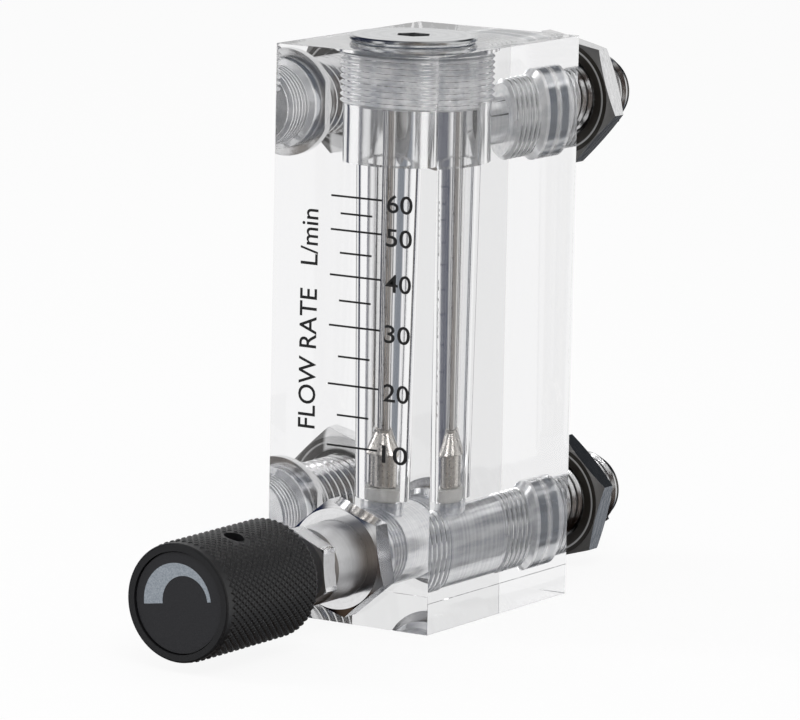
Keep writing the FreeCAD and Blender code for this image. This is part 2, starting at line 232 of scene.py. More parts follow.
def place_camera():
    """Camera of the photograph: azimuth, height above the horizon, roll and distance found from the block."""
    azimuth = math.radians(camera_azimuth)
    elevation = math.radians(9.4095)
    roll = math.radians(1.1698)
    distance_mm = 1556.84
    lens_mm = 275.53
    target_mm = Vector((0, 0, 72.5))
    shift_right_mm = 5.9667
    shift_up_mm = 9.4565
    level_right = Vector((math.cos(azimuth), math.sin(azimuth), 0))
    ahead = Vector((
        -math.sin(azimuth) * math.cos(elevation),
        math.cos(azimuth) * math.cos(elevation),
        -math.sin(elevation),
    ))
    level_up = level_right.cross(ahead)
    right = level_right * math.cos(roll) + level_up * math.sin(roll)
    up = level_up * math.cos(roll) - level_right * math.sin(roll)
    place_mm = target_mm - ahead * distance_mm - right * shift_right_mm - up * shift_up_mm
    lens = bpy.data.cameras.new("photo_camera")
    lens.sensor_fit = "HORIZONTAL"
    lens.sensor_width = 36.0
    lens.lens = lens_mm
    lens.clip_start = 0.05
    lens.clip_end = 20.0
    camera = add_object("photo_camera", lens)
    turn = Matrix((right, up, -ahead)).transposed().to_4x4()
    camera.matrix_world = Matrix.Translation(place_mm * MM) @ turn
    bpy.context.scene.camera = camera


place_camera()
bpy.context.scene.view_settings.view_transform = "Standard"


# Meshes

def smooth_by_angle(mesh):
    """Smooth shading, with sharp edges where two faces meet past the limit."""
    mesh.shade_smooth()
    mesh.set_sharp_from_angle(angle=smooth_limit)


def clean(mesh):
    """Mesh with double points merged, faces outward and edges sharp past the limit."""
    build = bmesh.new()
    build.from_mesh(mesh)
    bmesh.ops.remove_doubles(build, verts=build.verts, dist=merge_m)
    bmesh.ops.recalc_face_normals(build, faces=build.faces)
    build.to_mesh(mesh)
    build.free()
    smooth_by_angle(mesh)


def new_piece(name, verts_mm, faces, material):
    """Object from points in millimetres."""
    mesh = bpy.data.meshes.new(name)
    mesh.from_pydata([Vector(v) * MM for v in verts_mm], [], faces)
    mesh.materials.append(material)
    clean(mesh)
    return add_object(name, mesh)


def point_about(axis, centre_mm, radius, angle, place):
    """Point at a radius and an angle, from +X, about an axis along Y or Z, at a place along it."""
    across = centre_mm[0] + radius * math.cos(angle)
    over = centre_mm[1] + radius * math.sin(angle)
    return (across, place, over) if axis == "Y" else (across, over, place)


def lathe(profile_mm, axis, centre_mm, material, steps=96):
    """Turned piece from a closed profile of (radius, place)."""
    angles = [2 * math.pi * step / steps for step in range(steps)]
    verts = [point_about(axis, centre_mm, r, angle, place) for angle in angles for r, place in profile_mm]
    count = len(profile_mm)
    faces = []
    for step in range(steps):
        here = step * count
        there = (step + 1) % steps * count
        for i in range(count):
            j = (i + 1) % count
            faces.append((here + i, here + j, there + j, there + i))
    return new_piece("turned", verts, faces, material)


def hexagon_corner(flats_mm):
    """Radius of a hexagon's corners from its width across the flats."""
    return flats_mm / 2 / math.cos(math.pi / 6)


def hexagon_prism(flats_mm, ends_mm, axis, centre_mm, turn, material):
    """Hexagonal bar with one corner at the angle turn."""
    corner = hexagon_corner(flats_mm)
    angles = [turn + math.pi / 3 * step for step in range(6)]
    verts = [point_about(axis, centre_mm, corner, angle, place) for place in ends_mm for angle in angles]
    faces = [tuple(range(6)), tuple(range(6, 12))]
    for step in range(6):
        after = (step + 1) % 6
        faces.append((step, after, after + 6, step + 6))
    return new_piece("hexagon", verts, faces, material)


def evaluated_mesh(piece):
    """New mesh of a piece as its modifiers or its text leave it."""
    bpy.context.view_layer.update()
    graph = bpy.context.evaluated_depsgraph_get()
    return bpy.data.meshes.new_from_object(piece.evaluated_get(graph))


def apply_modifiers(piece):
    """The modified mesh takes the place of the old one, and the modifiers go."""
    old = piece.data
    mesh = evaluated_mesh(piece)
    piece.modifiers.clear()
    piece.data = mesh
    bpy.data.meshes.remove(old)


def combine(piece, other, operation="DIFFERENCE"):
    """Boolean of two objects, kept in the first with both materials; the second is removed."""
    tool = piece.modifiers.new("combine", "BOOLEAN")
    tool.operation = operation
    tool.solver = "EXACT"
    tool.material_mode = "TRANSFER"
    tool.object = other
    apply_modifiers(piece)
    bpy.data.objects.remove(other)


def join(name, shells):
    """One object from several closed shells of one material."""
    build = bmesh.new()
    for shell in shells:
        build.from_mesh(shell.data)
    mesh = bpy.data.meshes.new(name)
    build.to_mesh(mesh)
    build.free()
    mesh.materials.append(shells[0].data.materials[0])
    for shell in shells:
        bpy.data.objects.remove(shell)
    smooth_by_angle(mesh)
    return add_object(name, mesh)


# Nodes

def new_group(name, family, inputs, outputs):
    """Node group with named sockets; gives the group, what it is given and what it puts out."""
    group = bpy.data.node_groups.new(name, family)
    for side, sockets in (("INPUT", inputs), ("OUTPUT", outputs)):
        for label, kind in sockets.items():
            group.interface.new_socket(name=label, in_out=side, socket_type="NodeSocket" + kind)
    given = group.nodes.new("NodeGroupInput")
    result = group.nodes.new("NodeGroupOutput")
    return group, given.outputs, result.inputs


def feed(tree, node, inputs):
    """Inputs of a node, by name or number, linked to sockets or set to values."""
    for label, value in inputs.items():
        if isinstance(value, bpy.types.NodeSocket):
            tree.links.new(value, node.inputs[label])
        else:
            node.inputs[label].default_value = value


def add_node(tree, kind, inputs=None, **settings):
    """Node with its settings and inputs; gives its outputs."""
    node = tree.nodes.new(kind)
    for label, value in settings.items():
        setattr(node, label, value)
    feed(tree, node, inputs or {})
    return node.outputs


def math_node(tree, operation, *values):
    """Result of an operation on sockets or numbers."""
    return add_node(tree, "ShaderNodeMath", dict(enumerate(values)), operation=operation)[0]


def times(tree, first, second):
    """Product of two sockets or numbers."""
    return math_node(tree, "MULTIPLY", first, second)


def combine_node(tree, *values):
    """Vector from three sockets or numbers."""
    return add_node(tree, "ShaderNodeCombineXYZ", dict(enumerate(values)))[0]


def split_node(tree, vector):
    """The three parts of a vector."""
    return add_node(tree, "ShaderNodeSeparateXYZ", {"Vector": vector})


# Trees that repeat a shape or follow a path

def end_tree(tree, shape, material, result):
    """Last nodes of a tree: real meshes in one material."""
    whole = add_node(tree, "GeometryNodeRealizeInstances", {"Geometry": shape})
    inputs = {"Geometry": whole["Geometry"], "Material": material}
    finish = add_node(tree, "GeometryNodeSetMaterial", inputs)
    tree.links.new(finish["Geometry"], result["Geometry"])


def grow(tree, settings):
    """Plain mesh object made by a tree with these inputs."""
    piece = add_object(tree.name, bpy.data.meshes.new(tree.name))
    maker = piece.modifiers.new("grow", "NODES")
    maker.node_group = tree
    for item in tree.interface.items_tree:
        if item.item_type == "SOCKET" and item.in_out == "INPUT" and item.name in settings:
            maker[item.identifier] = settings[item.name]
    apply_modifiers(piece)
    return piece


def make_thread_tree():
    """Ridge of a screw thread: a trapezoid swept along a helix about Z."""
    tree, given, result = new_group("thread_ridge", "GeometryNodeTree", {
        "Root Radius": "Float", "Depth": "Float", "Root Width": "Float", "Crest Width": "Float",
        "Pitch": "Float", "Turns": "Float", "Steps": "Int", "Material": "Material",
    }, {"Geometry": "Geometry"})
    helix = add_node(tree, "GeometryNodeCurveSpiral", {
        "Resolution": given["Steps"],
        "Rotations": given["Turns"],
        "Start Radius": given["Root Radius"],
        "End Radius": given["Root Radius"],
        "Height": times(tree, given["Pitch"], given["Turns"]),
    })
    level = add_node(tree, "GeometryNodeSetCurveNormal", {"Curve": helix["Curve"]}, mode="Z_UP")
    section = add_node(tree, "GeometryNodeCurvePrimitiveQuadrilateral", {
        "Bottom Width": given["Root Width"],
        "Top Width": given["Crest Width"],
        "Height": given["Depth"],
        "Offset": 0.0,
    }, mode="TRAPEZOID")
    lift = times(tree, given["Depth"], -0.5)
    outward = add_node(tree, "GeometryNodeTransform", {
        "Geometry": section["Curve"],
        "Translation": combine_node(tree, lift, 0.0, 0.0),
        "Rotation": (0, 0, math.pi / 2),
    })
    sweep = add_node(tree, "GeometryNodeCurveToMesh", {
        "Curve": level["Curve"],
        "Profile Curve": outward["Geometry"],
        "Fill Caps": True,
    })
    end_tree(tree, sweep["Mesh"], given["Material"], result)
    return tree


thread_tree = make_thread_tree()


def thread_ridge(form_mm, ends_mm, axis, centre_mm, material):
    """Helical ridge between two places along an axis, rooted a little inside its core."""
    root_r_mm, crest_r_mm, crest_width_mm, pitch_mm = form_mm
    start_mm, end_mm = ends_mm
    depth = crest_r_mm - root_r_mm + ridge_overlap_mm
    ridge = grow(thread_tree, {
        "Root Radius": (root_r_mm - ridge_overlap_mm) * MM,
        "Depth": depth * MM,
        "Root Width": (crest_width_mm + 2 * depth * thread_slope) * MM,
        "Crest Width": crest_width_mm * MM,
        "Pitch": pitch_mm * MM,
        "Turns": (end_mm - start_mm) / pitch_mm,
        "Steps": steps_per_turn,
        "Material": material,
    })
    turn = Matrix.Rotation(-math.pi / 2, 4, "X") if axis == "Y" else Matrix.Identity(4)
    place_mm = Vector(point_about(axis, centre_mm, 0.0, 0.0, start_mm))
    ridge.data.transform(Matrix.Translation(place_mm * MM) @ turn)
    clean(ridge.data)
    return ridge


def make_knurl_tree():
    """Four-sided pips round a cylinder along Y, in rows that lean like a screw, with a gap at a hole."""
    tree, given, result = new_group("knurl", "GeometryNodeTree", {
        "Radius": "Float", "Length": "Float", "Pips Around": "Int", "Pips Along": "Int",
        "Pip Size": "Vector", "Lean": "Float", "Hole Place": "Vector", "Hole Radius": "Float",
        "Material": "Material",
    }, {"Geometry": "Geometry"})
    grid = add_node(tree, "GeometryNodeMeshGrid", {
        "Size X": 1.0, "Vertices X": given["Pips Around"],
        "Size Y": 1.0, "Vertices Y": given["Pips Along"],
    })
    place = add_node(tree, "GeometryNodeInputPosition")["Position"]
    split = split_node(tree, place)
    one_pip = math_node(tree, "DIVIDE", 1.0, given["Pips Around"])
    part = times(tree, split["X"], math_node(tree, "SUBTRACT", 1.0, one_pip))
    skew = times(tree, split["Y"], given["Lean"])
    turn = math_node(tree, "ADD", times(tree, part, 2 * math.pi), skew)
    across = times(tree, math_node(tree, "COSINE", turn), given["Radius"])
    along = times(tree, split["Y"], given["Length"])
    above = times(tree, math_node(tree, "SINE", turn), given["Radius"])
    spot = combine_node(tree, across, along, above)
    wrap = add_node(tree, "GeometryNodeSetPosition", {"Geometry": grid["Mesh"], "Position": spot})
    reach = add_node(tree, "ShaderNodeVectorMath", {0: place, 1: given["Hole Place"]}, operation="DISTANCE")
    near = {"A": reach["Value"], "B": given["Hole Radius"]}
    at_hole = add_node(tree, "FunctionNodeCompare", near, operation="LESS_THAN")
    picked = {"Geometry": wrap["Geometry"], "Selection": at_hole["Result"]}
    thin = add_node(tree, "GeometryNodeDeleteGeometry", picked, domain="POINT")
    pip = add_node(tree, "GeometryNodeMeshCone", {
        "Vertices": 4, "Radius Top": pip_top_ratio, "Radius Bottom": 1.0, "Depth": 1.0,
    }, fill_type="NGON")
    facing = add_node(tree, "FunctionNodeAxesToRotation", {
        "Primary Axis": combine_node(tree, split["X"], 0.0, split["Z"]),
        "Secondary Axis": (0, 1, 0),
    }, primary_axis="Z", secondary_axis="Y")
    stamp = add_node(tree, "GeometryNodeInstanceOnPoints", {
        "Points": thin["Geometry"], "Instance": pip["Mesh"],
        "Rotation": facing["Rotation"], "Scale": given["Pip Size"],
    })
    end_tree(tree, stamp["Instances"], given["Material"], result)
    return tree


knurl_tree = make_knurl_tree()


# Materials

def make_axis_group(name, direction):
    """Distance from an axis along Y or Z, set off from the origin by the Offset, and the place along it."""
    sockets = {"Radius": "Float", "Along": "Float"}
    group, given, result = new_group(name, "ShaderNodeTree", {"Offset": "Float"}, sockets)
    other = "Z" if direction == "Y" else "Y"
    split = split_node(group, add_node(group, "ShaderNodeTexCoord")["Object"])
    rise = math_node(group, "SUBTRACT", split[other], given["Offset"])
    across = combine_node(group, split["X"], 0.0, rise)
    length = add_node(group, "ShaderNodeVectorMath", {0: across}, operation="LENGTH")
    group.links.new(length["Value"], result["Radius"])
    group.links.new(split[direction], result["Along"])
    return group


marks_out = {"Shade": "Float", "Normal": "Vector"}


def put_out_marks(group, vector, depth, detail, roughness, result):
    """Noise over a vector as the group's shade, and its bump as the group's normal."""
    noise = add_node(group, "ShaderNodeTexNoise", {
        "Vector": vector, "Scale": 1.0, "Detail": detail, "Roughness": roughness,
    })
    bump = add_node(group, "ShaderNodeBump", {
        "Distance": bump_height_m, "Strength": depth, "Height": noise["Fac"],
    })
    group.links.new(noise["Fac"], result["Shade"])
    group.links.new(bump["Normal"], result["Normal"])


def make_turned_group():
    """Fine rings left by turning: a shade between 0 and 1, and a normal."""
    inputs = {"Radius": "Float", "Along": "Float", "Rings per Metre": "Float", "Depth": "Float"}
    group, given, result = new_group("turned_marks", "ShaderNodeTree", inputs, marks_out)
    across = times(group, given["Radius"], given["Rings per Metre"])
    along = times(group, given["Along"], given["Rings per Metre"])
    put_out_marks(group, combine_node(group, across, along, 0.0), given["Depth"], 3.0, 0.5, result)
    return group


def make_grain_group():
    """Speckle of a cast, moulded or brushed surface: a shade between 0 and 1, and a normal."""
    inputs = {"Stretch": "Vector", "Depth": "Float"}
    group, given, result = new_group("grain", "ShaderNodeTree", inputs, marks_out)
    place = add_node(group, "ShaderNodeTexCoord")["Object"]
    scale = add_node(group, "ShaderNodeVectorMath", {0: place, 1: given["Stretch"]}, operation="MULTIPLY")
    put_out_marks(group, scale["Vector"], given["Depth"], 4.0, 0.6, result)
    return group


axis_groups = {"Y": make_axis_group("from_axis_y", "Y"), "Z": make_axis_group("from_axis_z", "Z")}
turned_group = make_turned_group()
grain_group = make_grain_group()


def new_material(name):
    """Material with its tree and Principled BSDF."""
    material = bpy.data.materials.new(name)
    material.use_nodes = True
    tree = material.node_tree
    return material, tree, tree.nodes["Principled BSDF"]


def add_grain(tree, stretch, depth):
    """Grain in a material, by its lumps per metre along X, Y and Z."""
    inputs = {"Stretch": stretch, "Depth": depth}
    return add_node(tree, "ShaderNodeGroup", inputs, node_tree=grain_group)


def add_rings(tree, radius, along, rings, depth):
    """Turned marks in a material, by their rings per metre."""
    inputs = {"Radius": radius, "Along": along, "Rings per Metre": rings, "Depth": depth}
    return add_node(tree, "ShaderNodeGroup", inputs, node_tree=turned_group)


def from_axis(tree, axis, offset_mm):
    """Distance from an axis and the place along it, in a material."""
    return add_node(tree, "ShaderNodeGroup", {"Offset": offset_mm * MM}, node_tree=axis_groups[axis])


def spread(tree, value, low, high, from_low=0.3, from_high=0.7):
    """A value laid out between two numbers as it goes from one to another."""
    return add_node(tree, "ShaderNodeMapRange", {
        "Value": value, "From Min": from_low, "From Max": from_high, "To Min": low, "To Max": high,
    })["Result"]


def vary(tree, shade, middle, share):
    """A number moved up and down by a share of itself."""
    return spread(tree, shade, middle * (1 - share), middle * (1 + share))


def past(tree, value, ends_mm):
    """0 to 1 as a length goes from the first end to the second."""
    return spread(tree, value, 0, 1, ends_mm[0] * MM, ends_mm[1] * MM)


def within(tree, value, ends_mm):
    """1 to 0 as a length goes from the first end to the second."""
    return spread(tree, value, 1, 0, ends_mm[0] * MM, ends_mm[1] * MM)


def weigh(tree, first, share, second):
    """Two values added, the first by its share and the second by the rest."""
    part = times(tree, first, share)
    rest = times(tree, second, 1 - share)
    return math_node(tree, "ADD", part, rest)


def blend(tree, factor, first, second, blend_type="MIX"):
    """Colour between two by a factor from 0 to 1; each is a socket or a plain colour."""
    first, second = ((*c, 1) if isinstance(c, tuple) else c for c in (first, second))
    inputs = {"Factor": factor, "A": first, "B": second}
    return add_node(tree, "ShaderNodeMix", inputs, data_type="RGBA", blend_type=blend_type)["Result"]


def polished(name, tint):
    """Polished acrylic with hardly any waviness."""
    material, tree, shader = new_material(name)
    speck = spread(tree, add_grain(tree, (300, 300, 120), 0.01)["Shade"], 0, 1)
    feed(tree, shader, {
        "Base Color": blend(tree, speck, tint, tuple(1.01 * part for part in tint)),
        "Roughness": 0.0,
        "IOR": acrylic_ior,
        "Transmission Weight": 1.0,
    })
    return material


def machined(name, height_mm, roughness, clearness, shades, rings, seal_mm=None):
    """Acrylic as the cutter left it: frosted, with tool marks, painted reflection streaks, and dark where a
    seal presses on the wall.
    """
    material, tree, shader = new_material(name)
    place = from_axis(tree, "Y", height_mm)
    marks = add_rings(tree, place["Radius"], place["Along"], rings, 0.35)
    # Long streaks in the colour are painted reflection; the rings are tool marks
    reflection_streaks = add_grain(tree, (260, 30, 260), 0.0)
    mixed = weigh(tree, marks["Shade"], 0.35, reflection_streaks["Shade"])
    colour = blend(tree, spread(tree, mixed, 0, 1, 0.38, 0.6), *shades)
    if seal_mm:
        either_end = math_node(tree, "ABSOLUTE", place["Along"])
        from_seal = math_node(tree, "ABSOLUTE", math_node(tree, "SUBTRACT", either_end, seal_mm * MM))
        near = within(tree, from_seal, seal_band_mm)
        wide = past(tree, place["Radius"], seal_wall_r_mm)
        colour = blend(tree, times(tree, near, wide), colour, seal_shade)
    feed(tree, shader, {
        "Base Color": colour,
        "Roughness": vary(tree, marks["Shade"], roughness, 0.2),
        "IOR": acrylic_ior,
        "Normal": marks["Normal"],
        "Transmission Weight": clearness,
    })
    return material


def turned_metal(name, axis, offset_mm, shades, roughness, rings, depth):
    """Metal turned about an axis; gives the material, its tree, its shader, the colour and the radius."""
    material, tree, shader = new_material(name)
    place = from_axis(tree, axis, offset_mm)
    marks = add_rings(tree, place["Radius"], place["Along"], rings, depth)
    grain = add_grain(tree, (900, 900, 900), 0.0)
    mixed = weigh(tree, marks["Shade"], 0.6, grain["Shade"])
    colour = blend(tree, spread(tree, mixed, 0, 1, 0.35, 0.65), *shades)
    feed(tree, shader, {
        "Base Color": colour,
        "Metallic": 1.0,
        "Roughness": vary(tree, grain["Shade"], roughness, 0.3),
        "Normal": marks["Normal"],
    })
    return material, tree, shader, colour, place["Radius"]


def satin_collar(name, offset_mm, shades, polish, satin, edge_mm):
    """Bright metal that is satin within a radius and polished outside it."""
    material, tree, shader, colour, radius = turned_metal(name, "Y", offset_mm, shades, polish, 2600, 0.02)
    ends = (edge_mm * MM, (edge_mm + 0.2) * MM)
    feed(tree, shader, {"Roughness": spread(tree, radius, satin, polish, *ends)})
    return material


def stud_finish(name, offset_mm):
    """Nickelled stud with painted shade in its thread roots."""
    material, tree, shader, colour, radius = turned_metal(name, "Y", offset_mm, nickel, 0.15, 1500, 0.2)
    in_root = past(tree, radius, (male_root_r_mm + 0.4, male_root_r_mm + 0.05))
    # Painted shade: the colour darkens toward the thread roots
    feed(tree, shader, {"Base Color": blend(tree, in_root, colour, painted_root_shade)})
    return material


def nut_finish(name, offset_mm):
    """Nickelled nut whose near face carries painted shade on one side and round the bore, broken by pale
    rings.
    """
    material, tree, shader, colour, radius = turned_metal(name, "Y", offset_mm, nut_nickel, 0.13, 1300, 0.3)
    place = add_node(tree, "ShaderNodeTexCoord")
    near_face = spread(tree, split_node(tree, place["Normal"])["Y"], 1, 0, *nut_face_tilt)
    side = past(tree, split_node(tree, place["Object"])["X"], nut_shade_side_mm)
    bore = within(tree, radius, nut_dark_r_mm)
    # Painted shade: the near face is darkened on the +X side and round the bore, with pale rings left through
    # it
    painted_shade = times(tree, math_node(tree, "MAXIMUM", side, bore), near_face)
    rings = add_rings(tree, radius, 0.0, 620, 0.0)
    ring = spread(tree, rings["Shade"], 1.0, 0.45, 0.56, 0.66)
    feed(tree, shader, {
        "Base Color": blend(tree, times(tree, painted_shade, ring), colour, painted_nut_shade),
        "Roughness": spread(tree, near_face, 0.12, 0.36, 0.0, 1.0),
        "Metallic": spread(tree, near_face, 1.0, 0.45, 0.0, 1.0),
    })
    return material


def grained(name, dark, light, roughness, lumps, depth, metallic=0.0):
    """Moulded, drawn or anodised surface with a fine grain, by its lumps per metre."""
    material, tree, shader = new_material(name)
    grain = add_grain(tree, (lumps, lumps, lumps), depth)
    feed(tree, shader, {
        "Base Color": blend(tree, spread(tree, grain["Shade"], 0, 1), dark, light),
        "Metallic": metallic,
        "Roughness": vary(tree, grain["Shade"], roughness, 0.2),
        "Normal": grain["Normal"],
    })
    return material


# The frost shades span the tool marks and the painted reflection streaks of the bores
frost = ((0.56, 0.58, 0.62), (0.96, 0.96, 0.97))
dull_frost = ((0.40, 0.42, 0.47), (0.86, 0.87, 0.90))
clear_frost = ((0.91, 0.92, 0.93), (0.97, 0.97, 0.975))
nickel = ((0.58, 0.58, 0.585), (0.76, 0.76, 0.76))
nut_nickel = ((0.70, 0.70, 0.705), (0.86, 0.86, 0.86))
bright = ((0.74, 0.74, 0.745), (0.84, 0.84, 0.85))
plug_shades = ((0.58, 0.59, 0.60), (0.76, 0.77, 0.78))
float_shades = ((0.60, 0.57, 0.53), (0.71, 0.68, 0.64))
# Painted shade on the nuts' near faces
painted_nut_shade = (0.022, 0.019, 0.016)
# Painted shade in the studs' thread roots
painted_root_shade = (0.07, 0.065, 0.06)
seal_shade = (0.10, 0.13, 0.18)

polished_acrylic = polished("polished_acrylic", (0.97, 0.97, 0.975))
machined_outlet = machined("machined_outlet", outlet_z_mm, 0.2, 0.45, frost, 900, port_seal_mm)
machined_inlet = machined("machined_inlet", inlet_z_mm, 0.18, 0.5, dull_frost, 900, port_seal_mm)
machined_head = machined("machined_head", outlet_z_mm, 0.12, 0.97, clear_frost, 300)
chrome = satin_collar("bright_chrome", inlet_z_mm, bright, 0.1, 0.42, bonnet_collar_r_mm + 0.1)
outlet_metal = stud_finish("outlet_metal", outlet_z_mm)
inlet_metal = stud_finish("inlet_metal", inlet_z_mm)
outlet_nut_metal = nut_finish("outlet_nut_metal", outlet_z_mm)
inlet_nut_metal = nut_finish("inlet_nut_metal", inlet_z_mm)
plug_metal = turned_metal("plug_metal", "Z", tube_y_mm, plug_shades, 0.2, 1400, 0.3)[0]
float_steel = turned_metal("float_steel", "Z", tube_y_mm, float_shades, 0.3, 3000, 0.1)[0]
steel = grained("turned_steel", (0.66, 0.65, 0.64), (0.74, 0.73, 0.72), 0.07, 900, 0.0, 1.0)
seat_white = grained("white_seat", (0.78, 0.78, 0.76), (0.88, 0.88, 0.86), 0.4, 600, 0.1)
rubber = grained("seal_rubber", (0.17, 0.20, 0.25), (0.24, 0.27, 0.32), 0.55, 900, 0.2)
knob_black = grained("knob_black", (0.005, 0.005, 0.006), (0.012, 0.012, 0.013), 0.4, 2200, 0.3)
cap_black = grained("cap_black", (0.014, 0.014, 0.016), (0.022, 0.022, 0.025), 0.45, 2600, 0.3)
crescent_grey = grained("crescent_grey", (0.17, 0.20, 0.23), (0.33, 0.36, 0.40), 0.5, 3200, 0.5)
ink = grained("scale_ink", (0.008, 0.008, 0.008), (0.014, 0.014, 0.014), 0.5, 900, 0.1)


# Clear block

def make_block():
    """Clear block with its stepped and tapered tube and its threaded ports."""
    build = bmesh.new()
    bmesh.ops.create_cube(build, size=1.0)
    for vert in build.verts:
        vert.co.x *= block_width_mm * MM
        vert.co.y *= (back_mm - front_mm) * MM
        vert.co.z = (vert.co.z + 0.5) * block_height_mm * MM
    bmesh.ops.bevel(build, geom=build.edges[:], offset=block_edge_mm * MM, segments=1, affect="EDGES")
    bmesh.ops.recalc_face_normals(build, faces=build.faces)
    mesh = bpy.data.meshes.new("clear_block")
    build.to_mesh(mesh)
    build.free()
    mesh.materials.append(polished_acrylic)
    block = add_object("clear_block", mesh)
    tube_axis = (0, tube_y_mm)
    tube = [
        (0, tube_floor_mm - cut_past_mm),
        (feed_r_mm, tube_floor_mm - cut_past_mm),
        (feed_r_mm, tube_floor_mm),
        (tube_floor_r_mm, tube_floor_mm),
        (tube_head_r_mm, chamber_floor_mm),
        (0, chamber_floor_mm),
    ]
    combine(block, lathe(tube, "Z", tube_axis, polished_acrylic))
    chamber = [
        (0, chamber_floor_mm - chamber_dip_mm),
        (chamber_r_mm, chamber_floor_mm),
        (chamber_r_mm, plug_bore_mm),
        (plug_minor_r_mm, plug_bore_mm),
        (plug_minor_r_mm, seal_floor_mm),
        (seal_recess_r_mm, seal_floor_mm),
        (seal_recess_r_mm, block_height_mm + cut_past_mm),
        (0, block_height_mm + cut_past_mm),
    ]
    combine(block, lathe(chamber, "Z", tube_axis, machined_head))
    plug_ends = (plug_bore_mm + groove_clear_mm, seal_floor_mm + plug_clear_mm)
    combine(block, thread_ridge(plug_groove_mm, plug_ends, "Z", tube_axis, machined_outlet))
    feed_end_mm = tube_floor_mm - feed_overlap_mm
    inlet_feed = [(0, inlet_z_mm), (feed_r_mm, inlet_z_mm), (feed_r_mm, feed_end_mm), (0, feed_end_mm)]
    combine(block, lathe(inlet_feed, "Z", tube_axis, machined_inlet))
    ports = [
        (back_mm, -1, port_end_mm, outlet_z_mm, machined_outlet),
        (back_mm, -1, port_end_mm, inlet_z_mm, machined_inlet),
        (front_mm, 1, valve_port_end_mm, inlet_z_mm, machined_inlet),
    ]
    for mouth, inward, end, height, finish in ports:
        recess_end = mouth + inward * port_recess_mm
        profile = [
            (0, mouth - inward * cut_past_mm),
            (port_recess_r_mm, mouth - inward * cut_past_mm),
            (port_recess_r_mm, recess_end),
            (port_minor_r_mm, recess_end + inward * port_lead_mm),
            (port_minor_r_mm, end),
            (0, end),
        ]
        combine(block, lathe(profile, "Y", (0, height), finish))
        groove_ends = sorted((recess_end, end - inward * groove_clear_mm))
        combine(block, thread_ridge(port_groove_mm, groove_ends, "Y", (0, height), finish))
    feed_end_mm = port_end_mm + cut_past_mm
    outlet_feed = [(0, tube_y_mm), (feed_r_mm, tube_y_mm), (feed_r_mm, feed_end_mm), (0, feed_end_mm)]
    combine(block, lathe(outlet_feed, "Y", (0, outlet_z_mm), machined_outlet))
    bore = [
        (0, valve_port_end_mm - bore_dip_mm),
        (valve_bore_r_mm, valve_port_end_mm),
        (valve_bore_r_mm, port_end_mm),
        (0, port_end_mm + bore_dip_mm),
    ]
    combine(block, lathe(bore, "Y", (0, inlet_z_mm), machined_inlet))
    smooth_by_angle(block.data)
    return block


# Metal pieces

def join_threads(name, bodies, threads, axis, centre_mm, metal):
    """Piece made of its bodies and its threads, each given as its form and its ends."""
    ridges = [thread_ridge(form, ends, axis, centre_mm, metal) for form, ends in threads]
    return join(name, [*bodies, *ridges])


def make_stud(name, height_mm, inner_profile, metal):
    """Panel stud: core, flats on its collar, and both threads."""
    centre = (0, height_mm)
    seat_mm = back_mm + face_gap_mm
    neck_end_mm = back_mm - port_recess_mm
    core = [
        (male_root_r_mm - lead_mm, fitting_start_mm),
        (male_root_r_mm, fitting_start_mm + lead_mm),
        (male_root_r_mm, neck_end_mm),
        (fitting_neck_r_mm, neck_end_mm),
        (fitting_neck_r_mm, seat_mm),
        (collar_r_mm, seat_mm),
        (collar_r_mm, collar_end_mm),
        (relief_r_mm, collar_end_mm),
        (relief_r_mm, relief_end_mm),
        (stud_root_r_mm, relief_end_mm + relief_slope_mm),
        (stud_root_r_mm, fitting_end_mm - stud_tip_mm),
        (stud_root_r_mm - stud_tip_mm, fitting_end_mm),
        (fitting_bore_r_mm + stud_edge_mm, fitting_end_mm),
        (fitting_bore_r_mm, fitting_end_mm - stud_edge_mm),
    ]
    body = lathe(core + inner_profile, "Y", centre, metal)
    limit = collar_half_flats_mm * MM
    for vert in body.data.vertices:
        vert.co.x = max(-limit, min(limit, vert.co.x))
    threads = [
        (male_ridge_mm, (fitting_start_mm + stud_clear_mm, neck_end_mm - male_clear_mm)),
        (stud_ridge_mm, (relief_end_mm + stud_clear_mm, fitting_end_mm - stud_end_clear_mm)),
    ]
    return join_threads(name, [body], threads, "Y", centre, metal)


def make_plug():
    """Plug: flange, neck, threaded core, key socket and the rod's hole."""
    axis = (0, tube_y_mm)
    seat_mm = block_height_mm + face_gap_mm
    core = [
        (0, rod_top_mm),
        (rod_r_mm, rod_top_mm),
        (rod_r_mm, plug_bore_mm),
        (plug_root_r_mm - plug_lead_mm, plug_bore_mm),
        (plug_root_r_mm, plug_bore_mm + plug_lead_mm),
        (plug_root_r_mm, plug_thread_top_mm),
        (plug_neck_r_mm, plug_thread_top_mm),
        (plug_neck_r_mm, seat_mm),
        (plug_flange_r_mm - plug_undercut_mm, seat_mm),
        (plug_flange_r_mm, block_height_mm + plug_undercut_height_mm),
        (plug_flange_r_mm, plug_top_mm - plug_flange_edge_mm),
        (plug_flange_r_mm - plug_flange_edge_mm, plug_top_mm),
        (0, plug_top_mm),
    ]
    body = lathe(core, "Z", axis, plug_metal, steps=128)
    socket_ends = (plug_key_floor_mm, plug_top_mm + cut_past_mm)
    combine(body, hexagon_prism(plug_key_flats_mm, socket_ends, "Z", axis, 0, plug_metal))
    thread_ends = (plug_bore_mm + groove_clear_mm, plug_thread_top_mm - plug_clear_mm)
    return join_threads("plug", [body], [(plug_ridge_mm, thread_ends)], "Z", axis, plug_metal)


